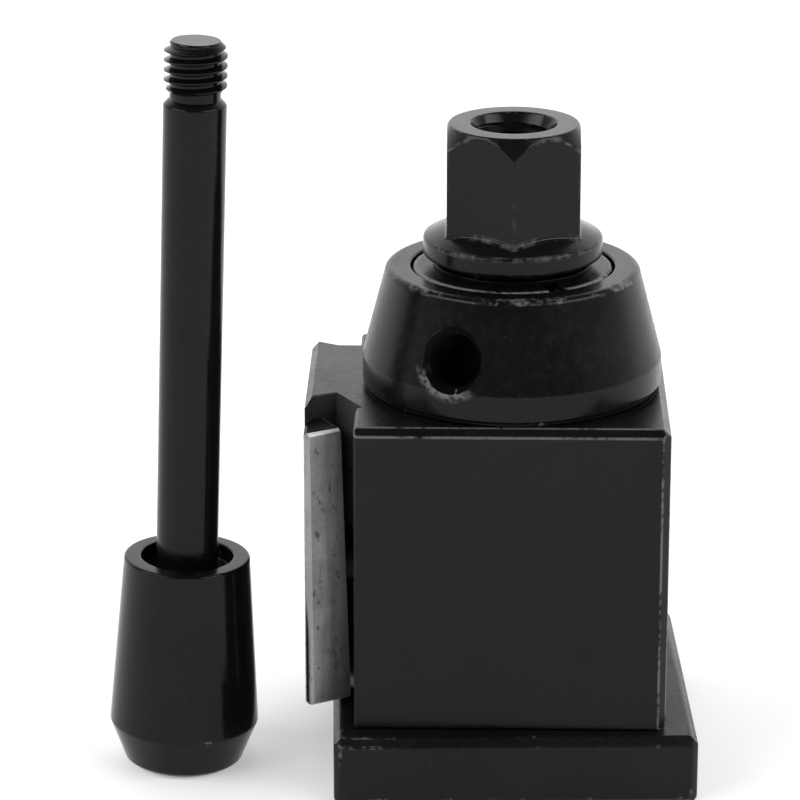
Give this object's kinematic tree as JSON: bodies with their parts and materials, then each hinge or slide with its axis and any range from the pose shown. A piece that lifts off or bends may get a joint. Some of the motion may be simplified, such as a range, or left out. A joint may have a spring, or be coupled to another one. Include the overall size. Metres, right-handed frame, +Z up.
{
  "type": "quick change tool post",
  "caption": "Black steel lathe tool post: a dovetailed block on a T-nut plate, with a conical locking hub, a hex flange nut, wedge gibs and an unscrewed handle standing beside it.",
  "frame": {"origin": "centre of the base plate's bottom face, on the stud's axis", "axes": "+Z up along the stud; +Y towards the back dovetail; the left dovetail faces -X"},
  "size_m": [0.0766, 0.0503, 0.0971],
  "materials": {
    "plate_black": "black oxide, matte, chipped edges",
    "block_black": "black oxide, ground flat and matte",
    "core_black": "black oxide, turned",
    "hub_black": "black oxide, turned and glossy",
    "washer_black": "black oxide",
    "ring_black": "spring steel, phosphated",
    "nut_black": "black oxide, satin, worn corners",
    "handle_black": "black oxide, turned, glossy",
    "knob_black": "black oxide, turned, glossy",
    "ground_steel": "ground steel with dark specks",
    "plain_steel": "machined steel",
    "bronze": "sintered bronze"
  },
  "bodies": {
    "base": {"t_nut_plate": "plate_black", "clamp_stud": "plain_steel"},
    "post": {"body_block": "block_black", "core_sleeve": "core_black", "core_dowel": "plain_steel", "cam_thrust_washer": "bronze", "hub_washer": "washer_black", "snap_ring": "ring_black", "retaining_shim": "plain_steel"},
    "hub": {"hub_cap": "hub_black", "cam_sleeve": "plain_steel", "hub_drive_pins": "plain_steel"},
    "left_wedge": {"gib_left": "ground_steel", "gib_pin_left": "plain_steel"},
    "back_wedge": {"gib_back": "ground_steel", "gib_pin_back": "plain_steel"},
    "washer": {"nut_washer": "washer_black"},
    "nut": {"clamp_nut": "nut_black"},
    "handle": {"handle_rod": "handle_black", "handle_knob": "knob_black"}
  },
  "joints": [
    {"name": "post_swivel", "type": "hinge", "parent": "base", "child": "post", "pos_m": [0, 0, 0.00905], "axis": [0, 0, 1], "continuous": true},
    {"name": "hub_turn", "type": "hinge", "parent": "post", "child": "hub", "pos_m": [0, 0, 0.055], "axis": [0, 0, -1], "range_deg": [0, 90]},
    {"name": "gib_left_slide", "type": "slide", "parent": "post", "child": "left_wedge", "axis": [0, -0.0349, 0.9994], "range_m": [0, 0.003]},
    {"name": "gib_back_slide", "type": "slide", "parent": "post", "child": "back_wedge", "axis": [-0.0349, 0, 0.9994], "range_m": [0, 0.003]},
    {"name": "nut_rise", "type": "slide", "parent": "base", "child": "washer", "axis": [0, 0, 1], "range_m": [0, 0.003]},
    {"name": "nut_turn", "type": "hinge", "parent": "washer", "child": "nut", "pos_m": [0, 0, 0.0672], "axis": [0, 0, 1], "range_deg": [0, 720]},
    {"name": "handle_lift", "type": "slide", "parent": "base", "child": "handle", "axis": [0, 0, 1], "range_m": [0, 0.05]}
  ],
  "couplings": [
    {"joint": "gib_left_slide", "follows": "hub_turn", "m_per_rad": 0.0019098},
    {"joint": "gib_back_slide", "follows": "hub_turn", "m_per_rad": 0.0019098},
    {"joint": "nut_turn", "follows": "nut_rise", "rad_per_m": 4188.8}
  ]
}
